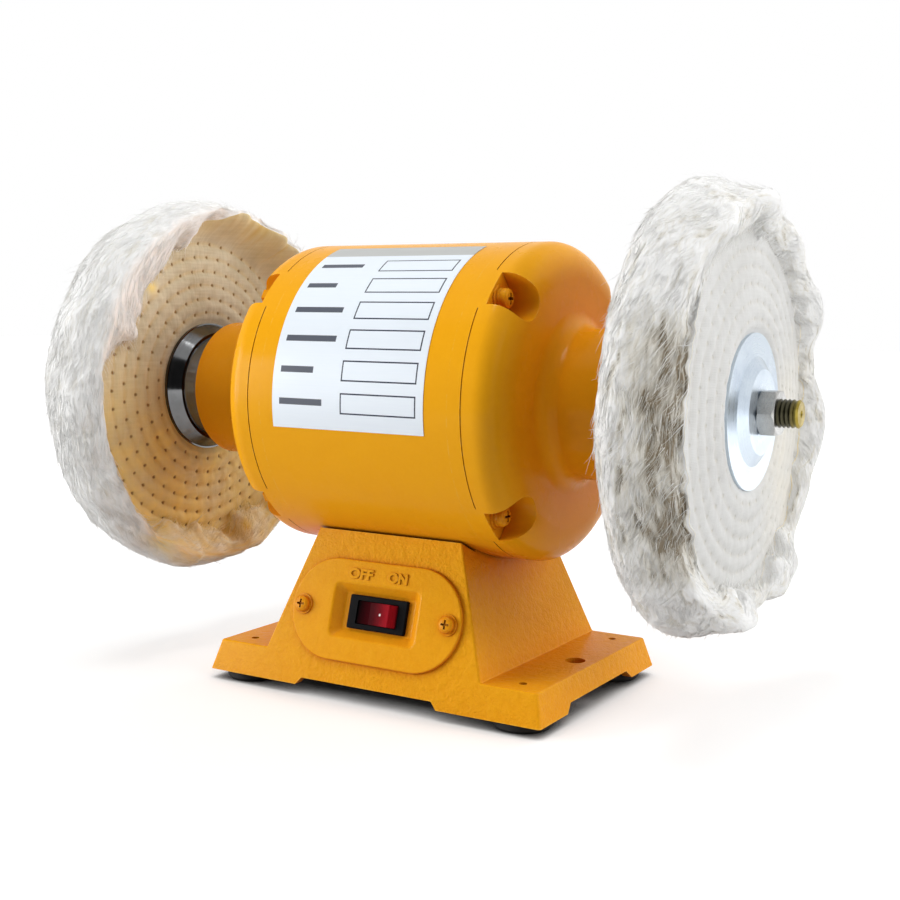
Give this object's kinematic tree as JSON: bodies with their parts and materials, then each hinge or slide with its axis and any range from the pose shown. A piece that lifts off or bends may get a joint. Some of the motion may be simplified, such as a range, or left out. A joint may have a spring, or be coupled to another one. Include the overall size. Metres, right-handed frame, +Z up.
{
  "type": "bench polisher",
  "caption": "Bench polisher: an enclosed motor on a cast pedestal turns a sewn cotton buffing wheel at each end, with a rocker switch on the front.",
  "frame": {"origin": "on the table, under the middle of the base and of the shaft", "axes": "+X along the shaft to the right-hand wheel, -Y to the switch, +Z up"},
  "size_m": [0.3712, 0.2032, 0.2453],
  "materials": {
    "yellow_paint": "semi-gloss yellow-orange enamel over a slightly rough casting",
    "cover_steel": "zinc-plated sheet steel",
    "plated_fasteners": "yellow zinc plating",
    "black_rubber": "matt black rubber",
    "switch_black": "satin black nylon",
    "switch_red": "glossy translucent red",
    "terminal_brass": "stamped brass",
    "capacitor_can": "drawn aluminium can",
    "sleeve_plastic": "natural nylon",
    "lead_plastic": "insulated wire",
    "label_foil": "printed satin foil with blank boxes",
    "electrical_steel": "stacked laminations",
    "winding_copper": "varnished copper wire",
    "rotor_aluminium": "cast aluminium",
    "bearing_steel": "ground bearing steel",
    "cage_brass": "machined brass",
    "shaft_steel": "turned steel with yellow zinc on the threads",
    "turned_steel": "turned and polished steel",
    "bright_zinc": "bright zinc plating",
    "sewn_cotton": "sewn unbleached cotton with a loose frayed rim"
  },
  "bodies": {
    "frame": {"base_casting": "yellow_paint", "motor_shell": "yellow_paint", "left_end_bell": "yellow_paint", "right_end_bell": "yellow_paint", "switch_plate": "yellow_paint", "switch_plate_screws": "yellow_paint", "switch_plate_washers": "yellow_paint", "tie_bolts": "yellow_paint", "tie_bolt_washers": "yellow_paint", "tie_bolt_lock_washers": "yellow_paint", "base_cover": "cover_steel", "capacitor_clamp": "cover_steel", "base_cover_screws": "plated_fasteners", "capacitor_clamp_screws": "plated_fasteners", "mount_bolts": "plated_fasteners", "mount_washers": "plated_fasteners", "mount_weld_nuts": "plated_fasteners", "tie_bolt_nuts": "plated_fasteners", "front_left_foot": "black_rubber", "front_right_foot": "black_rubber", "rear_left_foot": "black_rubber", "rear_right_foot": "black_rubber", "cord_inlet_grommet": "black_rubber", "left_dust_seal": "black_rubber", "right_dust_seal": "black_rubber", "switch_housing": "switch_black", "switch_terminals": "terminal_brass", "capacitor_terminals": "terminal_brass", "capacitor": "capacitor_can", "lead_sleeve": "sleeve_plastic", "motor_leads": "lead_plastic", "rating_plate": "label_foil", "stator_core": "electrical_steel", "stator_windings": "winding_copper", "left_bearing_outer_ring": "bearing_steel", "right_bearing_outer_ring": "bearing_steel", "bearing_preload_spring": "bearing_steel"},
    "rotor": {"rotor_shaft": "shaft_steel", "rotor_core": "electrical_steel", "rotor_end_rings": "rotor_aluminium", "left_bearing_inner_ring": "bearing_steel", "left_bearing_balls": "bearing_steel", "left_bearing_cage": "cage_brass", "left_inner_flange": "turned_steel", "left_buffing_wheel": "sewn_cotton", "left_outer_flange": "bright_zinc", "left_arbor_nut": "turned_steel", "right_bearing_inner_ring": "bearing_steel", "right_bearing_balls": "bearing_steel", "right_bearing_cage": "cage_brass", "right_inner_flange": "turned_steel", "right_buffing_wheel": "sewn_cotton", "right_outer_flange": "bright_zinc", "right_arbor_nut": "turned_steel"},
    "rocker": {"switch_rocker": "switch_red"}
  },
  "joints": [
    {"name": "rotor_spin", "type": "hinge", "parent": "frame", "child": "rotor", "pos_m": [0, 0, 0.14365], "axis": [1, 0, 0], "continuous": true},
    {"name": "rocker_tilt", "type": "hinge", "parent": "frame", "child": "rocker", "pos_m": [0, -0.04934, 0.04092], "axis": [0, 0.279, 0.9603], "range_deg": [0, 20]}
  ]
}
